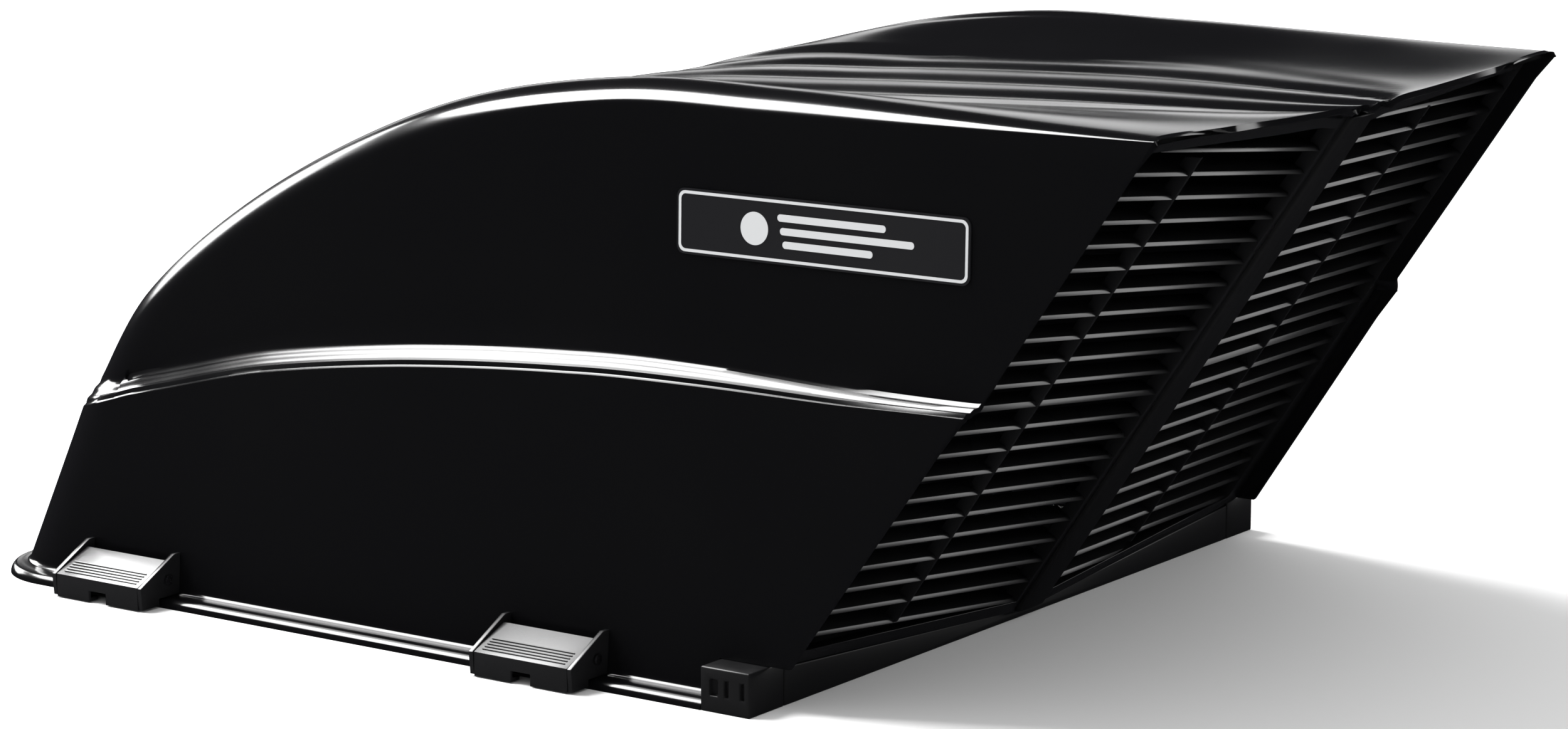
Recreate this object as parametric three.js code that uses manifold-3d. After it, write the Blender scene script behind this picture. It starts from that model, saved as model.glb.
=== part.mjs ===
// Roof vent cover: a moulded hood with a louvred rear face, held by four sprung side clips.
// Millimetres, +Z up, +X to the rear, the label side faces -Y, origin under the middle of the box.
import * as THREE from "three";
import { mergeVertices } from "three/addons/utils/BufferGeometryUtils.js";
import Module from "manifold-3d";

const wasm = await Module();
wasm.setup();

// ---- driving dimensions ----
const BASE_LENGTH = 502; // over the rim, front to rear
const BASE_WIDTH = 475; // over the rim, side to side
const ROOF_OVERHANG = 194; // roof edge behind the base's rear edge
const WALL = 2.8; // moulded wall thickness
const GAP = 0.3; // clearance between pieces that touch
const RIM_HEIGHT = 4.5; // flange that lies on the vent's frame
const RIM_WIDTH = 14; // flange outside the side walls
const RIM_CORNER = 45; // radius of the rim's front corners
const BODY_CORNER = 28; // radius of the body's front corners
const FRONT_INSET = 4; // front wall behind the rim's front edge
const FRONT_LEAN = 0.38; // how far the front wall leans back for each millimetre up
const SIDE_LEAN = 0.079; // draft of the lower side walls
const BELT_WIDTH = 9; // ledge between the lower and the upper body
const UPPER_LEAN = 0.02; // draft of the upper side walls
const REAR_SLOPE = 0.685; // rear face: travel rearward for each millimetre up
const FOLD = 0.065; // each half of the louvred face falls back this much towards its side
const LIP = 2; // side walls and roof reach this far behind the centre rib
const RIB_WIDTH = 23; // centre rib between the two louvre inserts
const SLAT_COUNT = 22;
const SLAT_THICKNESS = 2;
const SILL_HEIGHT = 21; // at the corners; the sill dips to SILL_MIDDLE at the centre rib
const SILL_MIDDLE = 4;
const SILL_DEPTH = 14;
const CAP_LENGTH = 28; // corner caps, along the side and along the rear
const CLIP_WIDTH = 62;
const CLIP_FROM_REAR = [124, 400]; // clip centres, forward of the base's rear edge
const LABEL = { length: 163, height: 31, x: 169, z: 223.5, thickness: 1.2, corner: 4 };

const FRONT_X = -(BASE_LENGTH + ROOF_OVERHANG) / 2;
const REAR_X = FRONT_X + BASE_LENGTH;
const HALF_WIDTH = BASE_WIDTH / 2;
const PAST = 40; // cutting solids reach this far beyond what they cut

// Side-view curves, [x, z]: the crest of the roof and the lower edge of the belt ledge.
const CREST = [
  [FRONT_X - PAST, 40], [-303, 105], [-270, 150], [-209, 199], [-160, 226], [-91, 258],
  [-24, 277], [28, 284], [106, 286], [235, 283], [-FRONT_X, 279], [-FRONT_X + PAST, 277],
];
const BELT = [
  [FRONT_X - PAST, 82], [-306, 88], [-254, 104], [-167, 125], [-74, 139], [31, 146.5], [105, 148],
  [231, 149], [-FRONT_X + PAST, 150],
];

// ---- solids ----
function solid(geometry) {
  const bare = new THREE.BufferGeometry().setAttribute("position", geometry.getAttribute("position"));
  if (geometry.index) bare.setIndex(geometry.index);
  const merged = mergeVertices(bare, 1e-4);
  return new wasm.Manifold(
    new wasm.Mesh({
      numProp: 3,
      vertProperties: merged.attributes.position.array,
      triVerts: new Uint32Array(merged.index.array),
    }),
  );
}

function geometryOf(body) {
  const made = body.getMesh();
  return new THREE.BufferGeometry()
    .setAttribute("position", new THREE.BufferAttribute(made.vertProperties, 3))
    .setIndex(new THREE.BufferAttribute(made.triVerts, 1));
}

function box(x0, x1, y0, y1, z0, z1) {
  const shape = new THREE.BoxGeometry(x1 - x0, y1 - y0, z1 - z0);
  return solid(shape.translate((x0 + x1) / 2, (y0 + y1) / 2, (z0 + z1) / 2));
}

// A polygon of [y, z] points, extruded along X about the middle of its width.
function barAlongX(points, width, middle = 0) {
  const outline = new THREE.Shape(points.map(([y, z]) => new THREE.Vector2(y, z)));
  const shape = new THREE.ExtrudeGeometry(outline, { depth: width, bevelEnabled: false });
  shape.applyMatrix4(new THREE.Matrix4().set(0, 0, 1, middle - width / 2, 1, 0, 0, 0, 0, 1, 0, 0, 0, 0, 0, 1));
  return solid(shape);
}

function rodAlongX(radius, length, y, z, middle = 0, sides = 14) {
  const shape = new THREE.CylinderGeometry(radius, radius, length, sides).rotateZ(Math.PI / 2);
  return solid(shape.translate(middle, y, z));
}

function rodAlongZ(radius, z0, z1, x, y, sides = 12) {
  const shape = new THREE.CylinderGeometry(radius, radius, z1 - z0, sides).rotateX(Math.PI / 2);
  return solid(shape.translate(x, y, (z0 + z1) / 2));
}

// A closed solid through rings of points, each ring with as many points as the next, bottom ring first.
function loft(rings) {
  const count = rings[0].length;
  const index = [];
  rings.slice(1).forEach((_, level) => {
    for (let i = 0; i < count; i++) {
      const a = level * count + i;
      const b = level * count + ((i + 1) % count);
      index.push(a, b, b + count, a, b + count, a + count);
    }
  });
  const top = (rings.length - 1) * count;
  for (let i = 1; i < count - 1; i++) {
    index.push(0, i + 1, i);
    index.push(top, top + i, top + i + 1);
  }
  const shape = new THREE.BufferGeometry();
  shape.setAttribute("position", new THREE.Float32BufferAttribute(rings.flat(2), 3));
  shape.setIndex(index);
  return solid(shape);
}

// Everything under the surface z = height(x, y), on a grid of stations along X and Y.
function under(height, stations, lanes, floor) {
  const row = lanes.length;
  const surface = stations.flatMap((x) => lanes.map((y) => [x, y, height(x, y)]));
  const base = stations.flatMap((x) => lanes.map((y) => [x, y, floor]));
  const index = [];
  const quad = (a, b, c, d) => index.push(a, b, c, a, c, d);
  const half = surface.length;
  for (let i = 0; i < stations.length - 1; i++)
    for (let j = 0; j < row - 1; j++) {
      const a = i * row + j;
      quad(a, a + row, a + row + 1, a + 1);
      quad(half + a, half + a + 1, half + a + row + 1, half + a + row);
    }
  const wall = (a, b) => quad(a, b, half + b, half + a);
  for (let i = 0; i < stations.length - 1; i++) {
    wall((i + 1) * row, i * row);
    wall(i * row + row - 1, (i + 1) * row + row - 1);
  }
  const last = (stations.length - 1) * row;
  for (let j = 0; j < row - 1; j++) {
    wall(j, j + 1);
    wall(last + j + 1, last + j);
  }
  const shape = new THREE.BufferGeometry();
  shape.setAttribute("position", new THREE.Float32BufferAttribute([...surface, ...base].flat(), 3));
  shape.setIndex(index);
  return solid(shape);
}

// ---- shape of the hood ----
function curve(points) {
  const spline = new THREE.SplineCurve(points.map(([x, z]) => new THREE.Vector2(x, z)));
  const samples = spline.getPoints(points.length * 24);
  return (x) => {
    const next = samples.findIndex((p) => p.x >= x);
    if (next < 0) return samples.at(-1).y;
    if (next === 0) return samples[0].y;
    const [a, b] = [samples[next - 1], samples[next]];
    return a.y + ((b.y - a.y) * (x - a.x)) / (b.x - a.x);
  };
}
const crestAt = curve(CREST);
const beltAt = curve(BELT);

const SHOULDER_HEIGHT = 11; // rise of the belt ledge, which tapers towards the rear
const shoulderAt = (x) => SHOULDER_HEIGHT - 5 * THREE.MathUtils.smoothstep(x, 60, REAR_X + 90);
const ROOF_HALF = HALF_WIDTH - 37.5; // half width of the roof at its edges
const CREST_Y = ROOF_HALF - 25;
const EDGE_DROP = 21; // fall from crest to roof edge at the front, fading to none at the rear
const VALLEY = 14; // depth of the roof's middle below its crests

function roofAt(x, y) {
  const side = Math.abs(y);
  const drop = EDGE_DROP * THREE.MathUtils.clamp((-FRONT_X - 12 - x) / 550, 0, 1.2);
  const edge = Math.max(0, (side - CREST_Y) / (ROOF_HALF - CREST_Y));
  const dip = VALLEY * THREE.MathUtils.smoothstep(x, -60, 90) * (1 - 0.6 * THREE.MathUtils.smoothstep(x, 200, 340));
  const across = Math.min(1, side / CREST_Y);
  return crestAt(x) - drop * edge ** 2 - dip * (0.5 + 0.5 * Math.cos(Math.PI * across));
}

// Plan outline of the body at one level: open-ended at the rear, round at the two front corners.
function outline(z, sideInset, frontInset, radius, rear) {
  const y = HALF_WIDTH - sideInset;
  const front = FRONT_X + frontInset;
  const ring = [[rear, -y, z], [rear, y, z]];
  const steps = 6;
  for (const [turn, cy] of [[0, y - radius], [1, -y + radius]])
    for (let i = 0; i <= steps; i++) {
      const angle = ((turn + i / steps) * Math.PI) / 2 + Math.PI / 2;
      ring.push([front + radius + radius * Math.cos(angle), cy + radius * Math.sin(angle), z]);
    }
  return ring;
}

const FAR_REAR = -FRONT_X + PAST;
const BODY_TOP = 300;
// The lower body tapers straight up; the upper body starts a belt's width inside it.
function lowerBlock(inward) {
  const level = (z) =>
    outline(z, RIM_WIDTH + SIDE_LEAN * z + inward, FRONT_INSET + FRONT_LEAN * z + inward,
      BODY_CORNER - inward, FAR_REAR);
  return loft([level(-PAST), level(BODY_TOP)]);
}
function upperBlock(inward) {
  const side = (z) => HALF_WIDTH - ROOF_HALF - UPPER_LEAN * (277 - z) + inward;
  const level = (z) => outline(z, side(z), 36 + inward, BODY_CORNER + 4 - inward, FAR_REAR);
  return loft([level(-PAST), level(BODY_TOP)]);
}

const STATIONS = [FRONT_X - PAST, -330, -303, -287, -270, -250, -230, -209, -185, -160, -126, -91, -58, -24,
  2, 28, 66, 106, 150, 192, 235, 290, -FRONT_X, FAR_REAR];
const LANES = [1, 0.86, 0.82, 0.78, 0.74, 0.7, 0.52, 0.34, 0.17].map((share) => share * HALF_WIDTH);
const ROOF_LANES = [...LANES.map((y) => -y), 0, ...LANES.toReversed()];

function hoodBlock(inward) {
  const flat = [-HALF_WIDTH, HALF_WIDTH];
  const roof = under((x, y) => roofAt(x, y) - inward, STATIONS, ROOF_LANES, -PAST - 10);
  const belt = under((x) => beltAt(x) - inward, STATIONS, flat, -PAST - 10);
  const shoulder = under((x) => beltAt(x) + shoulderAt(x) / 2 - inward, STATIONS, flat, -PAST - 10);
  const lower = lowerBlock(inward).intersect(belt);
  const ledge = lowerBlock(inward + BELT_WIDTH / 2).intersect(shoulder);
  const upper = upperBlock(inward).intersect(lowerBlock(inward + BELT_WIDTH * 0.8).add(
    box(FRONT_X, FAR_REAR + 1, -HALF_WIDTH, HALF_WIDTH, 60, BODY_TOP + 5)));
  return lower.add(ledge).add(upper.intersect(roof));
}

// Everything in front of the slanted rear plane, moved rearward by `behind`.
function aheadOfRear(behind) {
  const xAt = (z) => REAR_X + behind + REAR_SLOPE * z;
  const y = HALF_WIDTH + 30;
  const ring = (z) => [[FRONT_X - PAST - 60, -y, z], [xAt(z), -y, z], [xAt(z), y, z], [FRONT_X - PAST - 60, y, z]];
  return loft([ring(-PAST - 20), ring(BODY_TOP + 20)]);
}

// ---- materials ----
const paint = (color, roughness, metalness = 0) =>
  new THREE.MeshStandardMaterial({ color, roughness, metalness });
const MOULDED = paint(0x0b0b0c, 0.32);
const LOUVRE = paint(0x101011, 0.4);
const CLIP = paint(0x121213, 0.35);
const STEEL = paint(0xa8abb0, 0.35, 1);
const ZINC = paint(0x8d9094, 0.45, 1);
const LABEL_FILM = paint(0x0a0a0b, 0.25);

const cover = new THREE.Group();
function add(name, body, material, parent = cover) {
  const mesh = new THREE.Mesh(geometryOf(body), material);
  mesh.name = name;
  parent.add(mesh);
}

// ---- clips, in a frame of their own ----
// x along the rim, y inward from the rim's outer edge, z up. The same clip serves all four places.
const CHEEK = 2.4;
const PIN = { y: 5.5, z: 13.5, radius: 1.5 };
const TAIL = { width: 11, tip: 22.5, thickness: 3 };
const SLOT = { width: 15, top: 17.5, start: 10.5, end: 32 };
const RIVET_X = [-21, 21];
const RIVET_Y = 9;
const RIVET_RADIUS = 1.6;
const wallFace = (z) => RIM_WIDTH + SIDE_LEAN * z; // outer face of the side wall, from the rim's edge

function clipSaddle() {
  const inner = (z) => wallFace(z) - 0.6;
  const seat = RIM_HEIGHT + GAP;
  const cheek = [
    [inner(seat), seat], [inner(26), 26], [inner(26) - 4.5, 26], [-14.5, 12.5], [-13.5, 1.2], [-1, 1.2],
    [-1, seat],
  ];
  const offset = (CLIP_WIDTH - CHEEK) / 2;
  const floor = box(-CLIP_WIDTH / 2, CLIP_WIDTH / 2, -1, inner(seat), seat, seat + 2.2);
  const body = floor.add(barAlongX(cheek, CHEEK, -offset)).add(barAlongX(cheek, CHEEK, offset));
  const holes = RIVET_X.map((x) => rodAlongZ(RIVET_RADIUS + GAP, 0, 20, x, RIVET_Y));
  const tailWindow = box(-SLOT.width / 2, SLOT.width / 2, SLOT.start - 1.5, 20, 0, 9);
  const cuts = [rodAlongX(PIN.radius + GAP, CLIP_WIDTH + 8, PIN.y, PIN.z), tailWindow, ...holes];
  return cuts.reduce((a, b) => a.subtract(b), body);
}

function clipLever() {
  const width = CLIP_WIDTH - 2 * CHEEK - 2 * 0.5;
  const profile = [
    [8.6, 20.4], [-11.8, 11.6], [-12.2, 2.6], [-7, 2.6], [-7, 0.7], [-14, 0.7], [-14, 12.6], [8.6, 22.6],
  ];
  const plate = barAlongX(profile.toReversed(), width);
  const web = [[PIN.y - 3.4, PIN.z], [PIN.y - 3.4, 17.6], [PIN.y + 1.4, 20.6], [PIN.y + 3.4, PIN.z]];
  let body = plate;
  for (const x of [-19, 0, 19]) {
    const long = x === 0 ? TAIL.width : 9;
    body = body.add(barAlongX(web.toReversed(), long, x)).add(rodAlongX(3.4, long, PIN.y, PIN.z, x));
  }
  const tail = box(-TAIL.width / 2, TAIL.width / 2, PIN.y, TAIL.tip,
    PIN.z - TAIL.thickness / 2, PIN.z + TAIL.thickness / 2);
  const notch = box(-6, 6, -20, -4, -1, 6.5);
  return body.add(tail).subtract(notch).subtract(rodAlongX(PIN.radius + GAP, CLIP_WIDTH + 8, PIN.y, PIN.z));
}

function clipPin() {
  const shaft = rodAlongX(PIN.radius, CLIP_WIDTH + 1.4, PIN.y, PIN.z, -0.1);
  return shaft.add(rodAlongX(2.6, 1.2, PIN.y, PIN.z, CLIP_WIDTH / 2 + 0.9));
}

// Torsion spring round the pin: a sleeve of coils with one leg under the plate and one on the saddle's floor.
function clipSpring(middle) {
  const coils = rodAlongX(2.9, 6, PIN.y, PIN.z, middle)
    .subtract(rodAlongX(2.1, 8, PIN.y, PIN.z, middle));
  const leg = 0.9;
  const upper = barAlongX([[PIN.y - 2.4, PIN.z + 0.8], [-6.6, 12.3], [-6.6, 13.2], [PIN.y - 2.2, PIN.z + 1.7]], leg,
    middle - 2.4);
  const lower = box(middle + 1.8, middle + 1.8 + leg, PIN.y - 2.9, PIN.y - 2.1, RIM_HEIGHT + GAP + 2.5, PIN.z);
  return coils.add(upper).add(lower);
}

function rivet(x) {
  const seat = RIM_HEIGHT + GAP + 2.2 + GAP;
  const head = rodAlongZ(3, seat, seat + 1.4, x, RIVET_Y);
  return head.add(rodAlongZ(RIVET_RADIUS, 1.2, seat + 0.4, x, RIVET_Y));
}

// Steel angle on the vent's frame; the lever's tail catches under its tongue.
const BRACKET = { width: 26, foot: 58, plate: 2.5, screwY: 47, screwX: 8 };
function roofBracket() {
  const { width, foot, plate } = BRACKET;
  const inside = wallFace(15) + WALL + 1.2;
  const top = PIN.z + TAIL.thickness / 2 + 0.6;
  const profile = [
    [inside + 8, 0], [foot, 0], [foot, plate], [inside + 8 + plate, plate], [inside + 8 + plate, top + plate],
    [inside, top + plate], [inside, top], [inside + 8, top],
  ];
  const holes = [-BRACKET.screwX, BRACKET.screwX].map((x) => rodAlongZ(2.3, -1, 5, x, BRACKET.screwY));
  return holes.reduce((a, b) => a.subtract(b), barAlongX(profile, width));
}
function bracketScrew(x) {
  const seat = BRACKET.plate + GAP;
  const head = rodAlongZ(4, seat, seat + 2.4, x, BRACKET.screwY);
  const cross = box(x - 2.4, x + 2.4, BRACKET.screwY - 0.5, BRACKET.screwY + 0.5, seat + 1.2, seat + 4)
    .add(box(x - 0.5, x + 0.5, BRACKET.screwY - 2.4, BRACKET.screwY + 2.4, seat + 1.2, seat + 4));
  return head.subtract(cross).add(rodAlongZ(1.9, 0.3, seat + 0.4, x, BRACKET.screwY));
}

const PLACES = ["left", "right"].flatMap((side) =>
  CLIP_FROM_REAR.map((fromRear, i) => ({
    name: side + (i === 0 ? "_rear" : "_front"),
    x: REAR_X - fromRear,
    y: side === "left" ? -HALF_WIDTH : HALF_WIDTH,
    turn: side === "left" ? 0 : Math.PI,
  })),
);
for (const place of PLACES) {
  const clip = new THREE.Group();
  clip.position.set(place.x, place.y, 0);
  clip.rotation.z = place.turn;
  cover.add(clip);
  add(place.name + "_clip_saddle", clipSaddle(), CLIP, clip);
  add(place.name + "_clip_lever", clipLever(), CLIP, clip);
  add(place.name + "_clip_pin", clipPin(), STEEL, clip);
  add(place.name + "_clip_spring", clipSpring(9.5), STEEL, clip);
  RIVET_X.forEach((x, i) => add(`${place.name}_rivet_${i + 1}`, rivet(x), STEEL, clip));
  add(place.name + "_roof_bracket", roofBracket(), ZINC, clip);
  [-1, 1].forEach((s, i) =>
    add(`${place.name}_bracket_screw_${i + 1}`, bracketScrew(s * BRACKET.screwX), ZINC, clip));
}

// ---- hood ----
const capTop = SILL_HEIGHT + 0.5;
function hoodShell() {
  const rim = loft([0, RIM_HEIGHT].map((z) => outline(z, 0, 0, RIM_CORNER, REAR_X + 10)));
  const aboveGround = box(FRONT_X - PAST, FAR_REAR + 1, -HALF_WIDTH, HALF_WIDTH, 0, BODY_TOP + 5);
  let shell = hoodBlock(0).intersect(aboveGround).add(rim).subtract(hoodBlock(WALL)).intersect(aheadOfRear(LIP));
  // The corner caps and the sill take the place of the walls' lower rear ends.
  const capRoom = box(REAR_X - CAP_LENGTH - GAP, REAR_X + PAST, -HALF_WIDTH - 1, HALF_WIDTH + 1, -1, capTop + GAP);
  shell = shell.subtract(capRoom);
  // Slots that the clips' tails pass through, and clearance for the rivets.
  for (const place of PLACES) {
    const inward = place.turn === 0 ? 1 : -1;
    const ys = [place.y + inward * SLOT.start, place.y + inward * SLOT.end].sort((a, b) => a - b);
    const half = SLOT.width / 2;
    shell = shell.subtract(box(place.x - half, place.x + half, ...ys, -1, SLOT.top));
    for (const x of RIVET_X)
      shell = shell.subtract(rodAlongZ(RIVET_RADIUS + GAP, -1, RIM_HEIGHT + 1, place.x + x * inward,
        place.y + inward * RIVET_Y));
  }
  return shell;
}
add("hood_shell", hoodShell(), MOULDED);

// ---- sill and corner caps ----
const sillTopAt = (y) => SILL_MIDDLE + ((SILL_HEIGHT - SILL_MIDDLE) * Math.abs(y)) / HALF_WIDTH;

function rearSill() {
  const end = HALF_WIDTH - CAP_LENGTH - GAP;
  const outlinePoints = [[-end, 0], [end, 0], [end, sillTopAt(end)], [0, SILL_MIDDLE], [-end, sillTopAt(end)]];
  return barAlongX(outlinePoints, SILL_DEPTH, REAR_X - SILL_DEPTH / 2);
}
add("rear_sill", rearSill(), MOULDED);

function cornerCap(side) {
  const corner = new THREE.Shape();
  const [x0, x1, x2] = [REAR_X - CAP_LENGTH, REAR_X - SILL_DEPTH, REAR_X];
  const [y0, y1, y2] = [HALF_WIDTH, HALF_WIDTH - RIM_WIDTH - WALL - 2, HALF_WIDTH - CAP_LENGTH].map((y) => side * y);
  [[x0, y0], [x0, y1], [x1, y1], [x1, y2], [x2, y2], [x2, y0]].forEach(([x, y], i) =>
    i === 0 ? corner.moveTo(x, y) : corner.lineTo(x, y));
  const block = solid(new THREE.ExtrudeGeometry(corner, { depth: capTop, bevelEnabled: false }));
  const face = [side * (HALF_WIDTH - 2.5), side * (HALF_WIDTH + 1)].sort((a, b) => a - b);
  const slots = [[-23, 5], [-14.5, 2.5], [-5.5, 2.5]].map(([x, width]) =>
    box(REAR_X + x, REAR_X + x + width, ...face, 8, 16));
  return slots.reduce((a, b) => a.subtract(b), block);
}
add("corner_cap_left", cornerCap(-1), MOULDED);
add("corner_cap_right", cornerCap(1), MOULDED);

// ---- rear face ----
// Everything under a line across the width; `height` gives z for each y.
const wide = [FRONT_X, FAR_REAR + PAST];
const below = (height, breaks = [0]) =>
  under((x, y) => height(y), wide, [-HALF_WIDTH - 5, ...breaks, HALF_WIDTH + 5], -PAST - 20);
const faceX = (y, z) => REAR_X + REAR_SLOPE * z - FOLD * Math.abs(y);

// A slab of one half of the folded rear face, from `yInner` outward, from `front` to `back` behind the face.
function faceSlab(side, yInner, yOuter, front, back) {
  const ring = (z) => {
    const points = [[yInner, front], [yInner, back], [yOuter, back], [yOuter, front]];
    const placed = points.map(([y, behind]) => [faceX(y, z) + behind, side * y, z]);
    return side > 0 ? placed : placed.toReversed();
  };
  return loft([ring(-PAST), ring(BODY_TOP)]);
}

const PANEL_DEPTH = 9;
const PANEL_GAP = WALL + 0.5;
const STILE = { rib: 5, wall: 3, taper: 0.042 }; // frame widths beside the rib and the wall
const BOTTOM_BAR = 7;
const HEADER = 7;
// Slat rows: height of the first at the rib, step down to the next, and fall across the width towards +Y.
const ROWS = {
  left: { first: 252, pitch: 11.52, fall: 0.113, divider: 128 },
  right: { first: 266, pitch: 11.78, fall: 0.03, divider: 92 },
};

// One louvre insert: a frame with a divider and sloping slats, moulded in one piece.
function louvreInsert(side, rows) {
  const inner = RIB_WIDTH / 2 + GAP;
  const outer = HALF_WIDTH + 5;
  const capSpan = [side * (HALF_WIDTH - CAP_LENGTH - GAP), side * outer].sort((a, b) => a - b);
  const block = faceSlab(side, inner, outer, -PANEL_DEPTH, 0)
    .intersect(hoodBlock(PANEL_GAP))
    .subtract(below((y) => sillTopAt(y) + GAP))
    .subtract(box(REAR_X - CAP_LENGTH - GAP, REAR_X + PAST, ...capSpan, -1, capTop + GAP));
  const lineAt = (row) => (y) => rows.first - rows.pitch * (row - 1) - rows.fall * y;
  const edge = loft([-PAST, BODY_TOP].map((z) => {
    const y = HALF_WIDTH - 33 - STILE.taper * z;
    return [[FRONT_X, -y, z], [wide[1], -y, z], [wide[1], y, z], [FRONT_X, y, z]];
  }));
  const window = faceSlab(side, inner + STILE.rib, outer, -PANEL_DEPTH - 9, 9)
    .intersect(hoodBlock(PANEL_GAP + HEADER))
    .intersect(edge)
    .subtract(below((y) => sillTopAt(y) + BOTTOM_BAR));
  const divider = faceSlab(side, rows.divider, rows.divider + 2.4, -PANEL_DEPTH + 1, -1.5).intersect(window);
  let insert = block.subtract(window).add(divider);
  const reach = faceSlab(side, inner + 1, outer, -14, 3).intersect(hoodBlock(PANEL_GAP + HEADER - 3))
    .subtract(below((y) => sillTopAt(y) + 2));
  for (let row = 1; row <= SLAT_COUNT; row++) {
    const z = lineAt(row);
    const ring = (share) => {
      const y = side * (inner + 1 + share * (HALF_WIDTH - 30 - STILE.taper * z(side * 200) - inner - 1));
      const x = faceX(Math.abs(y), z(y));
      return [[x - 1, y, z(y)], [x - 10, y, z(y) + 5], [x - 10, y, z(y) + 7], [x - 0.4, y, z(y) + SLAT_THICKNESS]];
    };
    const slat = loft(side > 0 ? [ring(0), ring(1)] : [ring(1), ring(0)]);
    insert = insert.add(slat.intersect(reach));
  }
  return insert;
}
add("louvre_insert_left", louvreInsert(-1, ROWS.left), LOUVRE);
add("louvre_insert_right", louvreInsert(1, ROWS.right), LOUVRE);

function centreRib() {
  const y = RIB_WIDTH / 2;
  const ring = (z) => {
    const x = REAR_X + LIP + REAR_SLOPE * z;
    return [[x - 15, -y, z], [x, -y, z], [x, y, z], [x - 15, y, z]];
  };
  return loft([ring(-PAST), ring(BODY_TOP)])
    .intersect(hoodBlock(WALL + GAP))
    .subtract(below((y2) => sillTopAt(y2) + GAP));
}
add("centre_rib", centreRib(), MOULDED);

// ---- label ----
function labelPlate() {
  const { length, height, corner, thickness } = LABEL;
  const shape = new THREE.Shape();
  const [w, h] = [length / 2 - corner, height / 2 - corner];
  for (const [cx, cy, turn] of [[w, h, 0], [-w, h, 1], [-w, -h, 2], [w, -h, 3]])
    shape.absarc(cx, cy, corner, (turn * Math.PI) / 2, ((turn + 1) * Math.PI) / 2);
  const plate = new THREE.ExtrudeGeometry(shape, { depth: thickness, bevelEnabled: false, curveSegments: 5 });
  const up = new THREE.Vector3(0, UPPER_LEAN, 1).normalize();
  const outward = new THREE.Vector3(0, -1, UPPER_LEAN).normalize();
  const wallY = -(ROOF_HALF + UPPER_LEAN * (277 - LABEL.z));
  const place = new THREE.Matrix4().makeBasis(new THREE.Vector3(1, 0, 0), up, outward);
  place.setPosition(outward.clone().multiplyScalar(GAP).add(new THREE.Vector3(LABEL.x, wallY, LABEL.z)));
  return solid(plate.applyMatrix4(place));
}
add("label_plate", labelPlate(), LABEL_FILM);

export default cover;
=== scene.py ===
# Roof vent cover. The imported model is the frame, and each piece below takes its place from it.
# Metres, +Z up, +X towards the vehicle's rear, the label on the -Y side.
import math

import bpy
from mathutils import Matrix, Vector


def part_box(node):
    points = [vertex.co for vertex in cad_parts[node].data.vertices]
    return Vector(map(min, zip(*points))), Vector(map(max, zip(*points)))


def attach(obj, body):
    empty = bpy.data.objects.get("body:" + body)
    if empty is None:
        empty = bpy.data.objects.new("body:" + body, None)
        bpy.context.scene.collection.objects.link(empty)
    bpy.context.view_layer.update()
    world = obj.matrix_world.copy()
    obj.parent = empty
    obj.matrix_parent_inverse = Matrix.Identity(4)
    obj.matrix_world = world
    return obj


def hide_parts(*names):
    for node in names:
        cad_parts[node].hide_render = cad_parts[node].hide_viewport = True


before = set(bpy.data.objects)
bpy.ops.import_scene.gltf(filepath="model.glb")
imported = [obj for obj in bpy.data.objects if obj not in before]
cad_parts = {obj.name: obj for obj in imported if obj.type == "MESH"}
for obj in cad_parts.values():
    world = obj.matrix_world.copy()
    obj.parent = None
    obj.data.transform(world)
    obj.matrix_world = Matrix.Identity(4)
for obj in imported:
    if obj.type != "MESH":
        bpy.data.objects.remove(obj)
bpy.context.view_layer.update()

# ---- Camera, lights and floor ----------------------------------------------------------------
# A long lens from the label side, behind the middle and above the roof of the hood, over a white
# floor. Large soft cards hang over the front and stand before the nose, beyond and behind.
camera_place = (1.2917, -1.8283, 0.5444)
camera_tilt, camera_turn = math.radians(79.09), math.radians(35.10)
bpy.ops.object.select_all(action="DESELECT")
bpy.ops.object.camera_add(location=camera_place, rotation=(camera_tilt, 0, camera_turn))
camera = bpy.context.object
camera.data.lens = 100.4
camera.data.sensor_width = 36
bpy.context.scene.camera = camera
bpy.context.scene.view_settings.view_transform = "Standard"


def card(name, place, aim, size, power):
    """A rectangular soft light at `place`, turned to face `aim`, that the camera doesn't see."""
    bpy.ops.object.light_add(type="AREA", location=place)
    light = bpy.context.object
    light.name = name
    light.data.shape = "RECTANGLE"
    light.data.size, light.data.size_y = size
    light.data.energy = power
    light.rotation_euler = (Vector(aim) - Vector(place)).to_track_quat("-Z", "Y").to_euler()
    light.visible_camera = False


card("front_card", (-1.75, -0.35, 2.35), (-0.1, 0, 0.2), (2.4, 1.6), 280)
card("nose_card", (-3.2, 0.6, 1.1), (-0.2, 0, 0.15), (1.6, 1.0), 60)
card("far_card", (-2.3, 3.3, 0.70), (0, 0, 0.27), (2.8, 0.50), 5)
card("slat_card", (1.9, 2.6, 1.0), (0.2, 0, 0.15), (1.3, 1.3), 16)

# The room is white, but nearly black in the hood's reflections, where only the cards show.
room_white, room_reflected = (0.95, 0.95, 0.95, 1), (0.015, 0.015, 0.017, 1)
world = bpy.data.worlds.new("studio")
bpy.context.scene.world = world
world.use_nodes = True
world.cycles.sampling_method = "NONE"
nodes, links = world.node_tree.nodes, world.node_tree.links
room = nodes.new("ShaderNodeMixRGB")
room.inputs["Color1"].default_value = room_white
room.inputs["Color2"].default_value = room_reflected
links.new(nodes.new("ShaderNodeLightPath").outputs["Is Glossy Ray"], room.inputs["Fac"])
links.new(room.outputs["Color"], nodes["Background"].inputs["Color"])

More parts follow.
